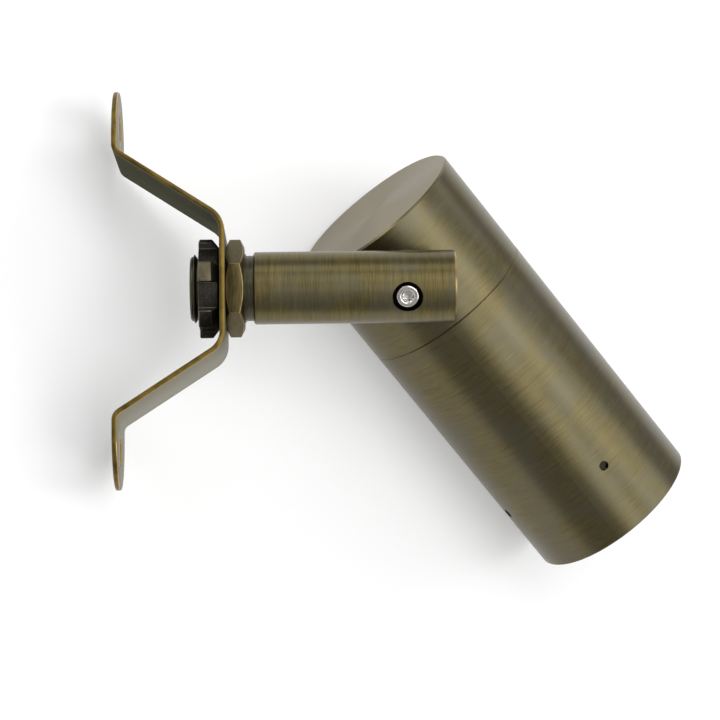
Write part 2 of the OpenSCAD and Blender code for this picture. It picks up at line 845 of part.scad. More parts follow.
// Quartz capsule with a domed tip
module lamp_capsule() {
  r = capsule_d / 2;
  dome_s = reflector_s + capsule_len - r;
  color(glass)
    head_frame() {
      rod_x(r, reflector_s, dome_s);
      translate([dome_s, 0, 0])
        sphere(r = r);
    }
}

module lamp_cover() {
  front_s = lamp_front_s - cover_sink;
  color(glass)
    head_frame()
      rod_x(lamp_d / 2 - reflector_t - fit_gap, front_s - cover_t, front_s);
}

// Front shell with lens lip, snap-ring groove and weep holes
module barrel() {
  bore_r = barrel_bore_d / 2;
  lead_in = 0.5;
  color(brass)
    head_frame()
      difference() {
        turned([[bore_r, housing_len + lead_in], [bore_r + lead_in, housing_len],
                [head_r - seam_chamfer, housing_len], [head_r, housing_len + seam_chamfer],
                [head_r, head_len - edge], [head_r - edge, head_len],
                [bore_r + edge, head_len], [bore_r, head_len - edge],
                [bore_r, lip_s], [lip_bore_d / 2, lip_s],
                [lip_bore_d / 2, lip_s - lip_t], [bore_r, lip_s - lip_t],
                [bore_r, lens_s], [bore_r + snap_groove, lens_s],
                [bore_r + snap_groove, snap_s - fit_gap], [bore_r, snap_s - fit_gap]]);
        for (i = [0 : weep_count - 1])
          rotate([weep_turn + i * 360 / weep_count, 0, 0])
            translate([weep_s, 0, 0])
              rotate([180, 0, 0])
                cylinder(d = weep_d, h = head_r + over);
      }
}

module lens() {
  lens_r = barrel_bore_d / 2 - loose_gap;
  color(glass)
    head_frame()
      turned([[0, lens_s], [lens_r - edge, lens_s], [lens_r, lens_s + edge],
              [lens_r, gasket_s - edge], [lens_r - edge, gasket_s], [0, gasket_s]]);
}

module lens_gasket() {
  outer_r = barrel_bore_d / 2 - fit_gap;
  color(black)
    head_frame()
      ring_x(outer_r, outer_r - gasket_w, gasket_s, gasket_s + gasket_t);
}

// Open spring ring in its groove behind the lens
module snap_ring() {
  outer_r = barrel_bore_d / 2 + snap_groove - fit_gap;
  gap_w = 9;
  color(steel)
    head_frame()
      difference() {
        ring_x(outer_r, outer_r - snap_w, snap_s, lens_s);
        translate([snap_s - over, -gap_w / 2, 0])
          cube([snap_t + 2 * over, gap_w, outer_r + over]);
      }
}

mounting_bracket();
threaded_stem();
arm();
hex_nut();
locknut();
cord_grommet();
friction_washer();
arm_leads();
rear_housing();
pivot_screw();
split_washer();
pivot_seal();
seam_seal();
holder_plate();
plate_screws();
lamp_holder();
holder_rivets();
head_leads();
lamp_base();
lamp_pins();
lamp_reflector();
lamp_capsule();
lamp_cover();
barrel();
lens();
lens_gasket();
snap_ring();
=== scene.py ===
# %% [markdown]
# A landscape down light in antique brass. The CAD frame gives every piece its size
# and place. This lesson gives the pieces their looks: turned and brushed metal with
# bright worn edges, a black iron locknut, a stainless screw, and a faceted reflector
# lamp behind its lens.

# %% Load the frame
import json
import math

import bpy
from mathutils import Matrix, Vector


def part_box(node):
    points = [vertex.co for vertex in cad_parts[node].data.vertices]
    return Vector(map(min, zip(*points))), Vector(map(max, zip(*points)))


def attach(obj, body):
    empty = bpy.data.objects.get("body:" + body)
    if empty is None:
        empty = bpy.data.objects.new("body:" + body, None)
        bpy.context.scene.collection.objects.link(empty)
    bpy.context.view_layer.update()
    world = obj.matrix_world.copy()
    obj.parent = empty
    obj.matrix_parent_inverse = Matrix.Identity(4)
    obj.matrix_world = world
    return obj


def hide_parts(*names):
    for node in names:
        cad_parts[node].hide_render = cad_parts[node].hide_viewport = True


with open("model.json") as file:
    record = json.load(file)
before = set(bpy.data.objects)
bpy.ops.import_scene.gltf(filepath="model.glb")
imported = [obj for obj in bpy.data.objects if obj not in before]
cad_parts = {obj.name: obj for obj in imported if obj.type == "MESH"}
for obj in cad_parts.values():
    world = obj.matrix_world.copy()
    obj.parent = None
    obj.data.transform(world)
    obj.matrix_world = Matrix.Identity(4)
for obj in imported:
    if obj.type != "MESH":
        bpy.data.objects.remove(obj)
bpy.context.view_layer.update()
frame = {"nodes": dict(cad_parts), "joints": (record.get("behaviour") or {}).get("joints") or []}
MM = 0.001
joints = {joint["name"]: joint for joint in frame["joints"]}

# %% [markdown]
# The arm lies on the X axis. The head has an axis of its own, which the joint that
# takes the barrel off gives. The lens is centred on it, so its box gives a point on
# the axis. Patterns and turned pieces on the head are placed with these values.

# %% The head's own axis
head_axis = Vector(joints["barrel_off"]["axis"]).normalized()
tilt_axis = Vector(joints["head_tilt"]["axis"]).normalized()
pivot = Vector(joints["head_tilt"]["pos_m"])


def middle(node):
    """The centre of a CAD node's box."""
    low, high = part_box(node)
    return (low + high) / 2


head_centre = middle("lens")
head_side = tilt_axis.cross(head_axis)
head_frame = Matrix((head_axis, head_side, tilt_axis)).transposed().to_4x4()
head_turn = head_frame.to_euler()
print("head axis:", [round(v, 4) for v in head_axis])
print("lens centre in mm:", [round(v / MM, 2) for v in head_centre])

# %% [markdown]
# The camera stands 0.86 m away, on the side where the screw shows, and looks along
# +Y and a little up. Its place comes from a fit to the outlines in the photograph.

# %% Camera
VIEW_TURN = (-0.700, -0.776, -8.005)
VIEW_TARGET = Vector((0.0892, 0, 0))
TARGET_IN_VIEW = Vector((14.315, -22.497, 857.897)) * MM
FOCAL_PX = 2800
PHOTO_PX = 720
SENSOR_MM = 36
NEAREST = 0.05
FARTHEST = 20

roll, yaw, pitch = (math.radians(angle) for angle in VIEW_TURN)
look = Matrix.Rotation(roll, 3, "Z") @ Matrix.Rotation(yaw, 3, "Y") @ Matrix.Rotation(pitch, 3, "X")
look = look @ Matrix(((1, 0, 0), (0, 0, -1), (0, 1, 0)))
camera_data = bpy.data.cameras.new("camera")
camera_data.sensor_width = SENSOR_MM
camera_data.lens = FOCAL_PX / PHOTO_PX * SENSOR_MM
camera_data.clip_start = NEAREST
camera_data.clip_end = FARTHEST
camera = bpy.data.objects.new("camera", camera_data)
bpy.context.scene.collection.objects.link(camera)
place = (look.transposed() @ Matrix.Diagonal((1, -1, -1))).to_4x4()
place.translation = VIEW_TARGET - look.transposed() @ TARGET_IN_VIEW
camera.matrix_world = place
bpy.context.scene.camera = camera
print("camera at:", [round(v, 4) for v in place.translation], "lens:", camera_data.lens)

# %% [markdown]
# Colours are written as sRGB hex values, the way a paint chart gives them, and one
# function turns them into the linear values that Blender counts with; the numbers in it
# are the sRGB standard's own. A second one adds a node with its settings and links, a
# third starts an empty material, and a fourth places a pattern on a piece.

# %% Helpers for colours and nodes


def linear(hex_colour):
    """An sRGB hex value as linear red, green, blue and full alpha."""
    parts = [int(hex_colour[i:i + 2], 16) / 255 for i in (0, 2, 4)]
    return (*[c / 12.92 if c <= 0.04045 else ((c + 0.055) / 1.055) ** 2.4 for c in parts], 1)


def add(tree, kind, inputs=None, **settings):
    """One node with its settings; an input is a value or another node's socket."""
    node = tree.nodes.new(kind)
    for name, value in settings.items():
        setattr(node, name, value)
    for name, value in (inputs or {}).items():
        if isinstance(value, bpy.types.NodeSocket):
            tree.links.new(value, node.inputs[name])
        else:
            node.inputs[name].default_value = value
    return node


def new_material(name):
    """An empty material with its output node."""
    material = bpy.data.materials.new(name)
    material.use_nodes = True
    tree = material.node_tree
    tree.nodes.clear()
    return material, tree, add(tree, "ShaderNodeOutputMaterial")


def pattern_place(tree, centre, turn, cell_mm):
    """Object coordinates in a turned and centred frame, counted in cells of so many millimetres."""
    place = add(tree, "ShaderNodeTexCoord").outputs["Object"]
    local = add(tree, "ShaderNodeMapping", {"Vector": place, "Location": centre, "Rotation": turn},
                vector_type="TEXTURE").outputs[0]
    scale = [1 / (size * MM) for size in cell_mm]
    return add(tree, "ShaderNodeMapping", {"Vector": local, "Scale": scale}).outputs[0]


# %% [markdown]
# The arm and the head are brass, turned on a lathe, darkened with a patina and then
# brushed. Fine scratches run round the axis, so the shine is drawn out along the axis.
# The patina shifts between olive, brown and gold from ring to ring and in soft clouds.
# Real scratches are about 0.05 mm wide; these are drawn three to six times as wide, so
# that they show. The round marks of a faced end lie round its middle, so the shine there
# is drawn out from the middle. Four small functions ask the surface where it is.

# %% Where a spot of a turned surface lies
ALONG_X = (0, 0, 0)
CHAMFER_FROM = (0.45, 0.55)
CHAMFER_TO = (0.92, 0.85)
WEAR_FADE_MM = 1


def distance_to_line(tree, point, direction):
    """How far each spot of the surface lies from a line, in metres."""
    place = add(tree, "ShaderNodeTexCoord").outputs["Object"]
    away = add(tree, "ShaderNodeVectorMath", {0: place, 1: point}, operation="SUBTRACT").outputs[0]
    across = add(tree, "ShaderNodeVectorMath", {0: away, 1: direction},
                 operation="CROSS_PRODUCT").outputs[0]
    return add(tree, "ShaderNodeVectorMath", {0: across}, operation="LENGTH").outputs["Value"]


def axis_lean(tree, axis_line):
    """How far the surface faces along the axis: 0 on the side, 1 on an end face."""
    normal = add(tree, "ShaderNodeTexCoord").outputs["Normal"]
    lean = add(tree, "ShaderNodeVectorMath", {0: normal, 1: axis_line},
               operation="DOT_PRODUCT").outputs["Value"]
    return add(tree, "ShaderNodeMath", {0: lean}, operation="ABSOLUTE").outputs[0]


def shine_direction(tree, centre, axis_line, facing):
    """The way the shine is drawn out: along the axis on the side, from the middle on an end face."""
    place = add(tree, "ShaderNodeTexCoord").outputs["Object"]
    away = add(tree, "ShaderNodeVectorMath", {0: place, 1: centre}, operation="SUBTRACT").outputs[0]
    around = add(tree, "ShaderNodeVectorMath", {0: axis_line, 1: away},
                 operation="CROSS_PRODUCT").outputs[0]
    outward = add(tree, "ShaderNodeVectorMath", {0: around, 1: axis_line},
                  operation="CROSS_PRODUCT").outputs[0]
    outward = add(tree, "ShaderNodeVectorMath", {0: outward}, operation="NORMALIZE").outputs[0]
    drawn = add(tree, "ShaderNodeMix", {"Factor": facing, "A": axis_line, "B": outward},
                data_type="VECTOR").outputs["Result"]
    return add(tree, "ShaderNodeVectorTransform", {"Vector": drawn}, vector_type="VECTOR",
               convert_from="OBJECT", convert_to="WORLD").outputs[0]


def rubbed_share(tree, lean, along, wear_from):
    """Where a chamfer was rubbed: its normal leans, and it lies past a station in mm."""
    share = add(tree, "ShaderNodeMapRange", {"Value": along, "From Min": wear_from,
                                             "From Max": wear_from + WEAR_FADE_MM}).outputs[0]
    for low, high in (CHAMFER_FROM, CHAMFER_TO):
        side = add(tree, "ShaderNodeMapRange", {"Value": lean, "From Min": low,
                                                "From Max": high}).outputs[0]
        share = add(tree, "ShaderNodeMath", {0: share, 1: side}, operation="MULTIPLY").outputs[0]
    return share


# %% [markdown]
# The brass is painted in layers, each a tone that covers a share of the one below: the
# light side of the scratches, dull clouds, single bright scratches, rubbed chamfers, and
# the lighter, duller tone of the end faces. A chamfer is known by its normal, which leans
# between the axis and the side. The arm's screw bore looks black in the photograph, so
# its wall is painted near black: painted shade for the shadow in the bore.

# %% Brushed patinated brass
END_LEAN = (0.93, 0.97)
END_TONE = "9f9786"
END_SHARE = 0.7
END_ROUGHER = 0.16
FACING_MM = 0.4
RING_SHARE = 0.35
BRUSHED = 0.6
LINE_RANGE = (0.36, 0.64)
CLOUD_RANGE = (0.42, 0.62)
SINGLE_RANGE = (0.74, 0.84)
SINGLE_WIDTH = 0.6
SINGLE_LONG = 6
SINGLE_SHARE = 0.3
FINE_DETAIL = 3.0
CLOUD_DETAIL = 2.0
SCRATCH_CRISP = 0.65
CRISP = 0.55
ROUGHNESS = 0.36
ROUGH_SWING = 0.04
ROUGH_RANGE = (0.35, 0.65)
SCRATCH_BUMP = 0.3
SCRATCH_DEPTH = 0.02
BORE_BLUR = 0.05
EVERYWHERE = -1000


def brushed_brass(name, dark, light, dull, worn, centre, turn, scratch, ring, cloud=(13, 9), dull_share=0.7,
                  wear=1.0, wear_from=EVERYWHERE, bore_shade=None):
    """Antique brass, brushed round the X axis of a turned and centred frame; sizes are in mm."""
    material, tree, output = new_material(name)
    axis_line = add(tree, "ShaderNodeVectorRotate", {"Vector": (1.0, 0.0, 0.0), "Rotation": turn},
                    rotation_type="EULER_XYZ").outputs[0]
    lean = axis_lean(tree, axis_line)
    facing = add(tree, "ShaderNodeMapRange", {"Value": lean, "From Min": END_LEAN[0],
                                              "From Max": END_LEAN[1]}).outputs[0]
    single = (SINGLE_WIDTH * scratch[0], SINGLE_LONG)
    grain = {}
    for layer, (wide, long), detail, crisp in (("scratches", scratch, FINE_DETAIL, SCRATCH_CRISP),
                                               ("rings", ring, FINE_DETAIL, CRISP),
                                               ("clouds", cloud, CLOUD_DETAIL, CRISP),
                                               ("single", single, 0.0, CRISP)):
        place = pattern_place(tree, centre, turn, (wide, long, long))
        grain[layer] = add(tree, "ShaderNodeTexNoise", {"Vector": place, "Scale": 1.0, "Detail": detail,
                                                        "Roughness": crisp}).outputs[0]
    from_axis = distance_to_line(tree, centre, axis_line)
    marks = add(tree, "ShaderNodeMath", {0: from_axis, 1: 1 / (FACING_MM * MM)},
                operation="MULTIPLY").outputs[0]
    faced = add(tree, "ShaderNodeTexNoise", {"W": marks, "Scale": 1.0, "Detail": FINE_DETAIL},
                noise_dimensions="1D").outputs[0]
    fine = add(tree, "ShaderNodeMix", {"Factor": facing, "A": grain["scratches"],
                                       "B": faced}).outputs[0]
    lines = add(tree, "ShaderNodeMix", {"Factor": RING_SHARE, "A": fine,
                                        "B": grain["rings"]}).outputs[0]
    in_mm = pattern_place(tree, centre, turn, (1, 1, 1))
    along = add(tree, "ShaderNodeSeparateXYZ", {0: in_mm}).outputs[0]
    layers = [(lines, *LINE_RANGE, 1.0, light),
              (grain["clouds"], *CLOUD_RANGE, dull_share, dull),
              (grain["single"], *SINGLE_RANGE, SINGLE_SHARE, worn),
              (rubbed_share(tree, lean, along, wear_from), 0.0, 1.0, wear, worn),
              (facing, 0.0, 1.0, END_SHARE, END_TONE)]
    # The screw bore's wall takes a near-black painted shade.
    if bore_shade:
        point, direction, radius, shade_tone = bore_shade
        from_bore = distance_to_line(tree, point, direction)
        layers.append((from_bore, (radius + BORE_BLUR) * MM, (radius - BORE_BLUR) * MM, 1.0, shade_tone))
    colour = linear(dark)
    for value, low, high, most, tone in layers:
        share = add(tree, "ShaderNodeMapRange", {"Value": value, "From Min": low, "From Max": high,
                                                 "To Max": most}).outputs[0]
        colour = add(tree, "ShaderNodeMix", {"Factor": share, "A": colour, "B": linear(tone)},
                     data_type="RGBA").outputs["Result"]
    rough = add(tree, "ShaderNodeMapRange",
                {"Value": lines, "From Min": ROUGH_RANGE[0], "From Max": ROUGH_RANGE[1],
                 "To Min": ROUGHNESS - ROUGH_SWING, "To Max": ROUGHNESS + ROUGH_SWING}).outputs[0]
    rough = add(tree, "ShaderNodeMath", {0: facing, 1: END_ROUGHER, 2: rough},
                operation="MULTIPLY_ADD").outputs[0]
    bump = add(tree, "ShaderNodeBump", {"Height": fine, "Strength": SCRATCH_BUMP,
                                        "Distance": SCRATCH_DEPTH * MM}).outputs[0]
    shader = add(tree, "ShaderNodeBsdfPrincipled",
                 {"Base Color": colour, "Metallic": 1.0, "Roughness": rough, "Normal": bump,
                  "Anisotropic": BRUSHED, "Tangent": shine_direction(tree, centre, axis_line, facing)})
    tree.links.new(shader.outputs[0], output.inputs[0])
    print(name, "has scratches", scratch[0], "mm and rings", ring[0], "mm wide, and clouds of", cloud, "mm")
    return material


SCREW_BORE_R = 4.65
ARM_END_X = 100
# The arm's screw bore gets painted shade, near black, on its wall.
arm_brass = brushed_brass("arm_brushed_brass", "564e33", "756a45", "615e4e", "a08e66",
                          (0, 0, 0), ALONG_X, scratch=(0.28, 7), ring=(1.6, 40), dull_share=0.6,
                          wear_from=ARM_END_X, bore_shade=(pivot, tilt_axis, SCREW_BORE_R, "15130f"))
head_brass = brushed_brass("head_brushed_brass", "595139", "6b6346", "605c4d", "8a8062",
                           head_centre, head_turn, scratch=(0.32, 6), ring=(1.2, 30),
                           cloud=(16, 12), wear=0.3)

# %% [markdown]
# The strap is rolled brass sheet, darkened more deeply than the arm. Its cut edges and
# outer arrises show gold, as brass does where it is rubbed. The hexagon nut is milled
# from bar, its flats are browner than the arm, and its arrises are rubbed too. All of
# these are metals with a fine grain, so one function makes them and the steels too.

# %% Sheet, edge and nut brass
GRAIN_DETAIL = 5.0
GRAIN_CRISP = 0.6
NOISE_MIDDLE = 0.5
GRAIN_RANGE = (0.3, 0.7)
GRAIN_BUMP = 0.5


def grained_metal(name, dark, light, cell_mm, roughness, bump_mm=0.01, metallic=1.0, spread=0.14,
                  swing=0.08, glance=None):
    """A metal whose colour and roughness vary in cells of a given size in mm."""
    material, tree, output = new_material(name)
    place = pattern_place(tree, (0, 0, 0), ALONG_X, cell_mm)
    grain = add(tree, "ShaderNodeTexNoise", {"Vector": place, "Scale": 1.0, "Detail": GRAIN_DETAIL,
                                             "Roughness": GRAIN_CRISP}).outputs[0]
    share = add(tree, "ShaderNodeMapRange", {"Value": grain, "From Min": NOISE_MIDDLE - spread,
                                             "From Max": NOISE_MIDDLE + spread}).outputs[0]
    colour = add(tree, "ShaderNodeMix", {"Factor": share, "A": linear(dark), "B": linear(light)},
                 data_type="RGBA").outputs["Result"]
    rough = add(tree, "ShaderNodeMapRange",
                {"Value": grain, "From Min": GRAIN_RANGE[0], "From Max": GRAIN_RANGE[1],
                 "To Min": roughness - swing, "To Max": roughness + swing}).outputs[0]
    bump = add(tree, "ShaderNodeBump", {"Height": grain, "Strength": GRAIN_BUMP,
                                        "Distance": bump_mm * MM}).outputs[0]
    shader = add(tree, "ShaderNodeBsdfPrincipled",
                 {"Base Color": colour, "Metallic": metallic, "Roughness": rough, "Normal": bump})
    if glance:
        shader.inputs["Specular Tint"].default_value = linear(glance)
    tree.links.new(shader.outputs[0], output.inputs[0])
    return material


strap_brass = grained_metal("rolled_sheet_brass", "504f43", "615f53", (6, 0.6, 6), 0.58, glance="a8a8a0")
# A lighter copy of the sheet brass, painted light for the strap's side that faces the lamps.
painted_light_sheet_brass = grained_metal("painted_light_sheet_brass", "797563", "928d7a", (6, 0.6, 6), 0.52)
cut_edge_brass = grained_metal("cut_edge_brass", "574a26", "7a6632", (5, 2, 5), 0.42)
# A light grey for the wall-side arrises: a painted highlight.
painted_highlight_arris = grained_metal("grey_arris_brass", "5e5b4e", "77735f", (4, 4, 4), 0.40)
worn_edge_brass = grained_metal("worn_edge_brass", "6f6140", "8d7b50", (2, 2, 2), 0.34)
worn_strap_brass = grained_metal("worn_strap_brass", "a78444", "cba766", (4, 4, 4), 0.34)
stem_brass = grained_metal("cut_thread_brass", "403f34", "55523f", (0.4, 3, 3), 0.38)
nut_brass = grained_metal("milled_nut_brass", "4a4028", "605537", (0.5, 4, 4), 0.42)
# Pale brown for the end face of one lug of the locknut.
pale_lug_finish = grained_metal("pale_lug_brass", "5d5846", "6a6450", (1, 1, 1), 0.42)

# %% [markdown]
# The locknut is cast iron, blackened and oiled: nearly black, a little rough from the
# sand of its mould, with greyer rubbed arrises. The screws, the holder's plate, its
# rivets, the lamp's pins and the snap ring are stainless steel with fine turning marks.
# The split washer is blackened spring steel; the bore that it lies in is painted near black
# as painted shade. The lamp's tungsten wire and the film of its mirror are metals too and
# are made here with them.

# %% Iron and steel
black_iron = grained_metal("blackened_iron", "2d2b27", "47433b", (0.7, 0.7, 0.7), 0.48, bump_mm=0.05,
                           metallic=0.8)
rubbed_iron = grained_metal("rubbed_iron", "57534a", "7c766a", (1.5, 1.5, 1.5), 0.40)
stainless = grained_metal("turned_stainless_steel", "bcb8b2", "d4d0ca", (0.8, 0.8, 0.8), 0.22, bump_mm=0.002,
                          swing=0.03)
bright_steel = grained_metal("bright_steel_edge", "dedad4", "f2efea", (1.5, 1.5, 1.5), 0.18, swing=0.05)
spring_steel = grained_metal("blackened_spring_steel", "191817", "272524", (0.8, 0.8, 0.8), 0.45)
tungsten = grained_metal("tungsten_wire", "5d5b58", "7b7874", (0.2, 0.2, 0.2), 0.35)
mirror = grained_metal("aluminised_mirror", "d6d9dd", "eceef0", (3, 3, 3), 0.06, bump_mm=0.001, swing=0.03)

# %% [markdown]
# Rubber rings, nylon washer, silicone-covered leads and ceramic aren't metals. Each has a
# base colour that varies slightly, a plastic's usual reflection, and its own grain:
# moulded rubber is dull and pitted, nylon is smoother, ceramic is chalky and speckled.

# %% Rubber, nylon, lead covering and ceramic
MOTTLED = 0.2


def moulded(name, dark, light, cell_mm, roughness, bump_mm):
    """A non-metal with a mottled colour and a fine moulded grain."""
    return grained_metal(name, dark, light, (cell_mm,) * 3, roughness, bump_mm=bump_mm, metallic=0.0,
                         spread=MOTTLED)


rubber = moulded("moulded_rubber", "151515", "242322", 0.5, 0.62, 0.04)
nylon = moulded("black_nylon_washer", "1a1a1b", "262627", 1.2, 0.42, 0.01)
lead_cover = moulded("silicone_lead_cover", "171616", "2b2928", 0.8, 0.38, 0.02)
ceramic = moulded("steatite_ceramic", "d9d4c6", "efebe0", 0.6, 0.55, 0.03)

# %% [markdown]
# The lens is clear tempered glass and the lamp's cover and capsule are clear too. Glass
# is a shader that lets light through with the bending of window glass, 1.5. A faint
# film of dust makes its roughness vary in soft patches, on the lens more than inside.

# %% Clear glass
GLASS_IOR = 1.5
FILM_DETAIL = 4.0
FILM_RANGE = (0.45, 0.75)


def clear_glass(name, tint, clear, dusty, cell_mm):
    """Glass whose roughness goes from clear to dusty in soft patches."""
    material, tree, output = new_material(name)
    place = pattern_place(tree, (0, 0, 0), ALONG_X, (cell_mm,) * 3)
    film = add(tree, "ShaderNodeTexNoise", {"Vector": place, "Scale": 1.0,
                                            "Detail": FILM_DETAIL}).outputs[0]
    rough = add(tree, "ShaderNodeMapRange",
                {"Value": film, "From Min": FILM_RANGE[0], "From Max": FILM_RANGE[1],
                 "To Min": clear, "To Max": dusty}).outputs[0]
    colour = add(tree, "ShaderNodeMix", {"Factor": film, "A": linear(tint), "B": linear("ffffff")},
                 data_type="RGBA").outputs["Result"]
    shader = add(tree, "ShaderNodeBsdfPrincipled",
                 {"Base Color": colour, "Roughness": rough, "IOR": GLASS_IOR, "Transmission Weight": 1.0})
    tree.links.new(shader.outputs[0], output.inputs[0])
    return material


lens_glass = clear_glass("tempered_lens_glass", "f2f8f5", 0.0, 0.03, 9)
lamp_glass = clear_glass("lamp_cover_glass", "f8fafa", 0.0, 0.01, 7)
quartz = clear_glass("quartz_capsule", "fbfbf8", 0.0, 0.01, 3)

# %% [markdown]
# Pieces that are right in the CAD keep their shape, and arm and head have their chamfers
# there already. But a real edge is never knife sharp: handling rubs it round and bright.
# So strap, nuts and pivot screw are copied, the copy's loose triangles are merged,
# coplanar ones are joined, and a Bevel modifier rounds the sharp edges by a fraction of
# a millimetre. The new narrow faces take a second material, so a worn edge catches light.

# %% Working the edges of a CAD piece
MERGE_MM = 0.06
FLAT = math.radians(0.6)
CORNER = math.radians(32)
BEVEL_STEPS = 2


def pick(piece):
    """Only this piece is selected and active."""
    bpy.ops.object.select_all(action="DESELECT")
    piece.select_set(True)
    bpy.context.view_layer.objects.active = piece


def apply_modifier(piece, kind, **settings):
    """A modifier with its settings, applied to the mesh."""
    modifier = piece.modifiers.new(kind.lower(), kind)
    for name, value in settings.items():
        setattr(modifier, name, value)
    pick(piece)
    bpy.ops.object.modifier_apply(modifier=modifier.name)


def worked(node, body, faces, edges, arris_mm):
    """A copy of a CAD node with rubbed edges, which stands in for the node."""
    mesh = frame["nodes"][node].data.copy()
    mesh.materials.clear()
    mesh.materials.append(faces)
    mesh.materials.append(edges)
    piece = bpy.data.objects.new(node + "_worked", mesh)
    bpy.context.scene.collection.objects.link(piece)
    pick(piece)
    bpy.ops.object.mode_set(mode="EDIT")
    bpy.ops.mesh.select_all(action="SELECT")
    bpy.ops.mesh.remove_doubles(threshold=MERGE_MM * MM)
    bpy.ops.mesh.dissolve_limited(angle_limit=FLAT)
    bpy.ops.mesh.normals_make_consistent(inside=False)
    bpy.ops.object.mode_set(mode="OBJECT")
    apply_modifier(piece, "BEVEL", width=arris_mm * MM, segments=BEVEL_STEPS, limit_method="ANGLE",
                   angle_limit=CORNER, material=1, use_clamp_overlap=False, miter_outer="MITER_ARC")
    bpy.ops.object.shade_smooth_by_angle(angle=CORNER)
    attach(piece, body)
    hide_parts(node)
    print(node, "edges rubbed by", arris_mm, "mm,", len(piece.data.polygons), "faces")
    return piece


def paint(piece, finish, chosen):
    """Gives a finish to the faces that a test of centre and normal chooses."""
    piece.data.materials.append(finish)
    count = 0
    for face in piece.data.polygons:
        if chosen(face.center / MM, face.normal):
            face.material_index = len(piece.data.materials) - 1
            count += 1
    print(piece.name, "has", count, "faces of", finish.name)


# %% [markdown]
# The strap has five finishes, chosen to match the photograph: the deep patina of its
# sheet, a lighter copy of it on the room side, which is painted light where the lamps
# fall, gold on the cut edges, and arrises that are gold outside and a light grey towards
# the wall, which is a painted highlight. Each set of faces is found by its normal, whose
# share along an axis goes from 0 to 1: a cut side faces along Y, the sheet along X, and
# an arris lies between them. The rounds of the tabs are found by their height as well.

# %% Strap, nuts and screw
STRAP_ARRIS = 0.3
NUT_ARRIS = 0.18
SCREW_ARRIS = 0.14
TAB_Z = 44
MOSTLY = 0.9
PARTLY = 0.2
HARDLY = 0.1


def is_cut_edge(centre, normal):
    """The strap's cut sides, and the rounds of its tabs and slots."""
    return abs(normal.y) > MOSTLY or (abs(centre.z) > TAB_Z and abs(normal.x) < HARDLY)


def is_inner_arris(centre, normal):
    """The rubbed arris between a cut side and the face towards the wall, painted light grey as a painted
    highlight.
    """
    return normal.x < -HARDLY and PARTLY < abs(normal.y) < MOSTLY


def is_room_side(centre, normal):
    """The sheet's faces towards the room and the lamps, which take painted light."""
    return normal.x > HARDLY and abs(normal.y) < HARDLY


strap = worked("mounting_bracket", "bracket", strap_brass, worn_strap_brass, STRAP_ARRIS)
paint(strap, cut_edge_brass, is_cut_edge)
# Painted highlight: the wall-side arrises take the light grey.
paint(strap, painted_highlight_arris, is_inner_arris)
# Painted light: the faces towards the room and the lamps take the lighter copy.
paint(strap, painted_light_sheet_brass, is_room_side)
worked("hex_nut", "bracket", nut_brass, worn_edge_brass, NUT_ARRIS)
locknut = worked("locknut", "bracket", black_iron, rubbed_iron, NUT_ARRIS)
worked("pivot_screw", "head", stainless, bright_steel, SCREW_ARRIS)

# %% [markdown]
# In the photograph one lug of the locknut is pale brown and the rest is black. Only the
# end face of that lug, which faces the camera's side, is painted pale brown. It is found
# by where it lies and which way it faces, as the strap's edges were.

# %% The locknut's pale lug
LUG_Z = (-0.5, 7)
LUG_R = 14.3
TO_CAMERA = -0.7


def is_pale_lug(centre, normal):
    """The end face of the one pale lug."""
    outside = math.hypot(centre.y, centre.z) > LUG_R
    return normal.y < TO_CAMERA and LUG_Z[0] < centre.z < LUG_Z[1] and outside


# The end face of the lug that faces the camera's side is painted pale brown.
paint(locknut, pale_lug_finish, is_pale_lug)

# %% [markdown]
# Inside the barrel sits a halogen lamp. Its glass reflector is pressed with small flat
# facets that spread the light, and a mirror film covers them. It is made like a turned
# piece: a circle of edges is extruded from ring to ring of a profile, outwards inside
# the bowl and back along the outside, and the two ends are bridged. The rings are
# few and the shading stays flat, so every quad is one facet.

# %% Turned pieces
LENS_MIDDLE = 91.9
SMALLEST_R = 1e-6
POLE_MM = 0.001


def head_place(station_mm):
    """The place of a station on the head's axis, in mm from its back, with local Z along the axis."""
    turn = Matrix((head_side, tilt_axis, head_axis)).transposed().to_4x4()
    return Matrix.Translation(head_centre + head_axis * (station_mm - LENS_MIDDLE) * MM) @ turn


def turned(name, profile, steps, place, closed=True):
    """A piece made by extruding a circle of edges along a profile of radius and height in mm."""
    bpy.ops.object.select_all(action="DESELECT")
    radius, height = profile[0]
    bpy.ops.mesh.primitive_circle_add(vertices=steps, radius=radius * MM, location=(0, 0, height * MM))
    piece = bpy.context.object
    piece.name = piece.data.name = name
    bpy.ops.object.transform_apply(location=True, rotation=True, scale=True)
    bpy.ops.object.mode_set(mode="EDIT")
    bpy.ops.mesh.select_all(action="SELECT")
    for (old_radius, old_height), (radius, height) in zip(profile, profile[1:]):
        step = (0, 0, (height - old_height) * MM)
        bpy.ops.mesh.extrude_region_move(TRANSFORM_OT_translate={"value": step})
        grow = max(radius, SMALLEST_R) / old_radius
        bpy.ops.transform.resize(value=(grow, grow, 1), center_override=(0, 0, height * MM))
    if closed:
        bpy.ops.mesh.select_mode(type="EDGE")
        bpy.ops.mesh.select_all(action="DESELECT")
        bpy.ops.mesh.select_non_manifold(extend=False)
        bpy.ops.mesh.bridge_edge_loops()
    bpy.ops.mesh.select_mode(type="VERT")
    bpy.ops.mesh.select_all(action="SELECT")
    bpy.ops.mesh.remove_doubles(threshold=POLE_MM * MM)
    bpy.ops.mesh.normals_make_consistent(inside=False)
    bpy.ops.object.mode_set(mode="OBJECT")
    piece.data.transform(place)
    print(name, "faces:", len(piece.data.polygons))
    return piece


def stand_in(piece, material, body, slot, *nodes):
    """The piece gets its material, rides on a body and stands for CAD nodes."""
    piece.data.materials.clear()
    piece.data.materials.append(material)
    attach(piece, body)
    if nodes:
        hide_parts(*nodes)


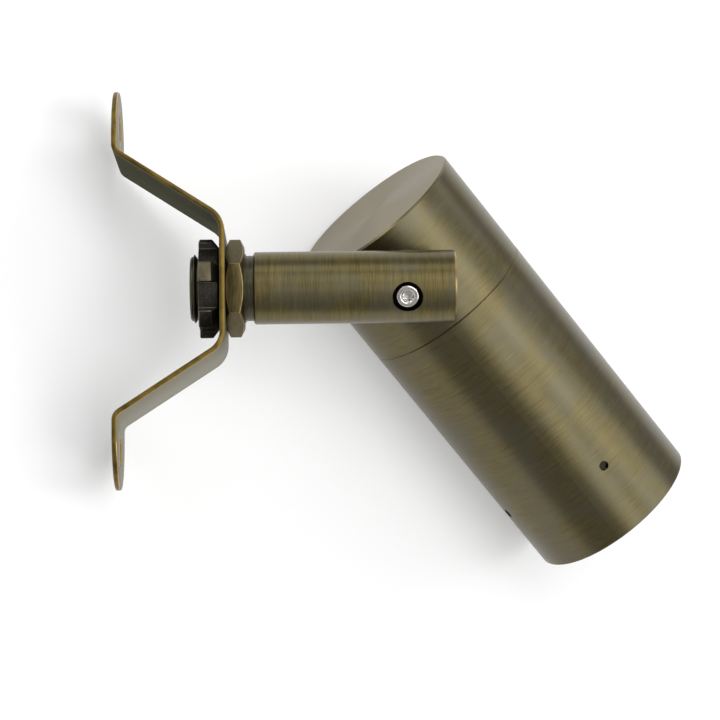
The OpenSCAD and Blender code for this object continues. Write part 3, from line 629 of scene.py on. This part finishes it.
# %% [markdown]
# The bowl is drawn from its sizes in millimetres: a quarter ellipse from the neck to the
# rim. The profile goes up the inside, over the rim and down to the hole in the floor.

# %% The lamp's faceted reflector
LAMP_BACK = 47.2
LAMP_FRONT = 74.7
NECK_R = 9.5
BOWL_GROWTH = 15.5
RIM_R = NECK_R + BOWL_GROWTH
RIM_HEIGHT = 3
LEDGE_DEPTH = 0.5
LEDGE_WIDTH = 0.4
RIM_CHAMFER = 0.3
WALL = 1.4
FLOOR_HOLE_R = 4.6
FACET_ROWS = 8
OUTER_ROWS = 10
FACETS_ROUND = 32


def bowl_radius(share):
    """The bowl's outer radius, a quarter ellipse from the neck to the rim."""
    return NECK_R + BOWL_GROWTH * math.sqrt(1 - (1 - share) ** 2)


lamp_depth = LAMP_FRONT - LAMP_BACK
bowl_height = lamp_depth - RIM_HEIGHT
inside = [(bowl_radius(row / FACET_ROWS) - WALL, WALL + (bowl_height - WALL) * row / FACET_ROWS)
          for row in range(FACET_ROWS + 1)]
inside += [(RIM_R - WALL, lamp_depth - LEDGE_DEPTH), (RIM_R - WALL + LEDGE_WIDTH, lamp_depth)]
outside = [(RIM_R - RIM_CHAMFER, lamp_depth), (RIM_R, lamp_depth - RIM_CHAMFER)]
outside += [(bowl_radius(1 - row / OUTER_ROWS), bowl_height * (1 - row / OUTER_ROWS))
            for row in range(OUTER_ROWS + 1)]
floor = [(FLOOR_HOLE_R, 0), (FLOOR_HOLE_R, WALL)]
reflector = turned("lamp_reflector_faceted", inside + outside + floor, FACETS_ROUND, head_place(LAMP_BACK))
stand_in(reflector, mirror, "lamp", "reflector_mirror", "lamp_reflector")

# %% [markdown]
# The light comes from a coil of tungsten wire in a quartz capsule. The capsule is a
# tube with a round tip; it is turned as an open shell and Solidify gives it its wall.
# The coil is one small circle that a Screw modifier winds up.

# %% Capsule and filament
CAPSULE_R = 4
CAPSULE_LENGTH = 16
CAPSULE_WALL = 0.7
FOOT_INSET = 0.4
FOOT_HEIGHT = 0.6
TIP_STEP = 15
CAPSULE_STEPS = 32
tip = [(CAPSULE_R * math.cos(angle), CAPSULE_LENGTH - CAPSULE_R * (1 - math.sin(angle)))
       for angle in (math.radians(degree) for degree in range(0, 91, TIP_STEP))]
shell_profile = [(CAPSULE_R - FOOT_INSET, 0), (CAPSULE_R, FOOT_HEIGHT), *tip]
capsule = turned("quartz_capsule_tube", shell_profile, CAPSULE_STEPS, head_place(LAMP_BACK), closed=False)
apply_modifier(capsule, "SOLIDIFY", thickness=CAPSULE_WALL * MM, offset=-1)
bpy.ops.object.shade_smooth_by_angle(angle=CORNER)
stand_in(capsule, quartz, "lamp", "clear_glass", "lamp_capsule")

WIRE_R = 0.16
WIRE_SIDES = 8
COIL_R = 0.75
COIL_PITCH = 0.55
COIL_TURNS = 9
COIL_HEIGHT = 9.5
COIL_STEPS = 14
WIRE_SMOOTH = math.radians(60)
bpy.ops.object.select_all(action="DESELECT")
bpy.ops.mesh.primitive_circle_add(vertices=WIRE_SIDES, radius=WIRE_R * MM, location=(COIL_R * MM, 0, 0),
                                  rotation=(math.pi / 2, 0, 0))
filament = bpy.context.object
filament.name = filament.data.name = "filament_coil"
bpy.ops.object.transform_apply(location=True, rotation=True, scale=True)
apply_modifier(filament, "SCREW", screw_offset=COIL_PITCH * MM, iterations=COIL_TURNS, steps=COIL_STEPS,
               render_steps=COIL_STEPS)
bpy.ops.object.mode_set(mode="EDIT")
bpy.ops.mesh.select_all(action="SELECT")
bpy.ops.mesh.remove_doubles(threshold=POLE_MM * MM)
bpy.ops.mesh.select_all(action="DESELECT")
bpy.ops.mesh.select_non_manifold()
bpy.ops.mesh.edge_face_add()
bpy.ops.mesh.select_all(action="SELECT")
bpy.ops.mesh.normals_make_consistent(inside=False)
bpy.ops.object.mode_set(mode="OBJECT")
across = Matrix.Rotation(math.pi / 2, 4, "Y") @ Matrix.Translation((0, 0, -COIL_PITCH * COIL_TURNS / 2 * MM))
filament.data.transform(head_place(LAMP_BACK + COIL_HEIGHT) @ across)
bpy.ops.object.shade_smooth_by_angle(angle=WIRE_SMOOTH)
stand_in(filament, tungsten, "lamp", "stainless")
print("coil:", COIL_TURNS, "turns of", 2 * WIRE_R, "mm wire")

# %% [markdown]
# The cord leaves through a rubber grommet in the stem's end. Moulded rubber has a fat
# round lip, which a plain ring of the CAD lacks, so the grommet is turned again with
# round lips inside the CAD piece's own size.

# %% Cord grommet
grommet_low, grommet_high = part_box("cord_grommet")
grommet_length = (grommet_high.x - grommet_low.x) / MM
FLANGE_R = (grommet_high.z - grommet_low.z) / 2 / MM
FLANGE = 1.4
FLANGE_CHAMFER = 0.2
HOLE_R = 3.2
PLUG_R = 5.4
LIP = 0.5
GROMMET_STEPS = 48
quarter = [math.radians(degree) for degree in (0, 30, 60, 90)]
profile = [(HOLE_R, grommet_length)]
profile += [(HOLE_R + LIP * (1 - math.cos(angle)), LIP * (1 - math.sin(angle))) for angle in quarter]
profile += [(FLANGE_R - LIP + LIP * math.sin(angle), LIP * (1 - math.cos(angle))) for angle in quarter]
profile += [(FLANGE_R, FLANGE - FLANGE_CHAMFER), (FLANGE_R - FLANGE_CHAMFER, FLANGE), (PLUG_R, FLANGE),
            (PLUG_R, grommet_length - LIP), (PLUG_R - LIP, grommet_length)]
along_x = Matrix.Translation((grommet_low.x, 0, 0)) @ Matrix.Rotation(math.pi / 2, 4, "Y")
grommet = turned("cord_grommet_moulded", profile, GROMMET_STEPS, along_x)
bpy.ops.object.shade_smooth_by_angle(angle=CORNER)
stand_in(grommet, rubber, "bracket", "black_rubber", "cord_grommet")

# %% [markdown]
# Every other piece keeps its CAD shape and only gets its finish.

# %% Finishes of the CAD pieces


def dress(material, *nodes):
    """CAD nodes get one material in place of their plain ones."""
    for node in nodes:
        mesh = frame["nodes"][node].data
        mesh.materials.clear()
        mesh.materials.append(material)
    print(material.name, "on", ", ".join(nodes))


dress(arm_brass, "arm")
dress(head_brass, "rear_housing", "barrel")
dress(stem_brass, "threaded_stem")
dress(spring_steel, "split_washer")
dress(stainless, "plate_screws", "holder_plate", "holder_rivets", "lamp_pins", "snap_ring")
dress(rubber, "pivot_seal", "seam_seal", "lens_gasket")
dress(nylon, "friction_washer")
dress(lead_cover, "arm_leads", "head_leads")
dress(ceramic, "lamp_base", "lamp_holder")
dress(lens_glass, "lens")
dress(lamp_glass, "lamp_cover")

# %% [markdown]
# In the photograph the light lies on a white table. Here the table stands up behind it,
# 1.5 mm off the strap's far edge and the head's far side. Its back is see-through, so
# that the part can be looked at from behind. A faint glow, which also shows in metal and
# glass, takes it to a clean white without more light on the part. When the head is tilted
# down it dips below this plane, and a solid table would seem to cut it. So an Ambient
# Occlusion node feels for the part below the surface, and the table opens over it.

# %% White table
HALF_TABLE = 1.6
CLEARANCE = 1.5 * MM
TABLE_TONE = "cacaca"
GLOW = 0.38
LOOK_BELOW = 0.2
FEELERS = 8
NOTHING_BELOW = 0.99
strap_low, strap_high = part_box("mounting_bracket")
shell_points = [v.co for node in ("barrel", "rear_housing") for v in frame["nodes"][node].data.vertices]
slope = max(math.atan2(point.y - strap_high.y, point.x - strap_low.x) for point in shell_points)
touch = Vector((strap_low.x, strap_high.y, 0)) + Vector((-math.sin(slope), math.cos(slope), 0)) * CLEARANCE
bpy.ops.object.select_all(action="DESELECT")
bpy.ops.mesh.primitive_plane_add(size=2 * HALF_TABLE, rotation=(math.pi / 2, 0, 0))
table = bpy.context.object
table.name = "white_table"
bpy.ops.object.transform_apply(location=True, rotation=True, scale=True)
table.data.transform(Matrix.Translation(touch) @ Matrix.Rotation(slope, 4, "Z"))
material, tree, output = new_material("white_table_paint")
path = add(tree, "ShaderNodeLightPath")
seen = add(tree, "ShaderNodeMath", {0: path.outputs["Is Camera Ray"], 1: path.outputs["Is Glossy Ray"]},
           operation="MAXIMUM").outputs[0]
seen = add(tree, "ShaderNodeMath", {0: seen, 1: path.outputs["Is Transmission Ray"]},
           operation="MAXIMUM").outputs[0]
strength = add(tree, "ShaderNodeMath", {0: seen, 1: GLOW}, operation="MULTIPLY").outputs[0]
paint_face = add(tree, "ShaderNodeBsdfDiffuse", {"Color": linear(TABLE_TONE)}).outputs[0]
glow = add(tree, "ShaderNodeEmission", {"Color": (1, 1, 1, 1), "Strength": strength}).outputs[0]
front = add(tree, "ShaderNodeAddShader", {0: paint_face, 1: glow}).outputs[0]
clear = add(tree, "ShaderNodeBsdfTransparent").outputs[0]
backfacing = add(tree, "ShaderNodeNewGeometry").outputs["Backfacing"]
below = add(tree, "ShaderNodeAmbientOcclusion", {"Distance": LOOK_BELOW}, inside=True,
            samples=FEELERS).outputs["AO"]
opened = add(tree, "ShaderNodeMath", {0: below, 1: NOTHING_BELOW}, operation="LESS_THAN").outputs[0]
unseen = add(tree, "ShaderNodeMath", {0: backfacing, 1: opened}, operation="MAXIMUM").outputs[0]
mix = add(tree, "ShaderNodeMixShader", {0: unseen, 1: front, 2: clear}).outputs[0]
tree.links.new(mix, output.inputs[0])
table.data.materials.append(material)
print("table slope:", round(math.degrees(slope), 1), "degrees")
print("table faces:", [round(v, 2) for v in table.data.polygons[0].normal])

# %% [markdown]
# A product table is lit from all round by soft boxes. Each stands 1.3 m away in a
# direction given by a tilt away from the camera side and a turn round it. Most powers
# were found by lighting the part with one box at a time and matching the sum to the
# colours in the photograph. The key's size, the upper right rim and the front top were
# then set. The two boxes behind reach only what a pose puts behind the table.
# The room gives a low even light. The camera and what it sees through glass meet plain
# white in its place; metal meets the grey, which gives the brass its dark bands.

# %% Room light and soft boxes
ROOM = 0.41
BOX_DISTANCE = 1.3
BOX_SIDE = 0.5
KEY_SIDE = 0.85
KEY = "front_right"
SOFT_BOXES = {
    KEY: (28, 0, 5.73),
    "upper_left_side": (55, 135, 2.59),
    "upper_right_rim": (82, 45, 3.4),
    "right_side": (55, 0, 2.45),
    "low_right_side": (55, 315, 2.42),
    "right_rim": (82, 0, 2.29),
    "front_top": (28, 60, 1.75),
    "top_side": (55, 90, 1.18),
    "front_low": (28, 300, 0.43),
    "behind_left": (150, 150, 2.5),
    "behind_right": (150, 330, 2.5),
}
world = bpy.data.worlds.new("studio_room")
bpy.context.scene.world = world
world.use_nodes = True
tree = world.node_tree
tree.nodes.clear()
path = add(tree, "ShaderNodeLightPath")
seen = add(tree, "ShaderNodeMath", {0: path.outputs["Is Camera Ray"],
                                    1: path.outputs["Is Transmission Ray"]}, operation="MAXIMUM").outputs[0]
room = add(tree, "ShaderNodeBackground", {"Color": (1, 1, 1, 1), "Strength": ROOM}).outputs[0]
white = add(tree, "ShaderNodeBackground", {"Color": (1, 1, 1, 1), "Strength": 1.0}).outputs[0]
mix = add(tree, "ShaderNodeMixShader", {0: seen, 1: room, 2: white}).outputs[0]
add(tree, "ShaderNodeOutputWorld", {"Surface": mix})

for name, (tilt, turn, watts) in SOFT_BOXES.items():
    data = bpy.data.lights.new(name, "AREA")
    data.shape = "SQUARE"
    data.size = KEY_SIDE if name == KEY else BOX_SIDE
    data.energy = watts
    box = bpy.data.objects.new(name, data)
    bpy.context.scene.collection.objects.link(box)
    tilt, turn = math.radians(tilt), math.radians(turn)
    aim = Vector((math.sin(tilt) * math.cos(turn), -math.cos(tilt), math.sin(tilt) * math.sin(turn)))
    facing = aim.to_track_quat("Z", "Y").to_matrix().to_4x4()
    box.matrix_world = Matrix.Translation(VIEW_TARGET + aim * BOX_DISTANCE) @ facing
    box.visible_camera = False
    print(name, watts, "W from", [round(v, 2) for v in aim])

# %% [markdown]
# The picture's colours stay plain, with Blender's Standard view.

# %% Finish
bpy.context.scene.view_settings.view_transform = "Standard"
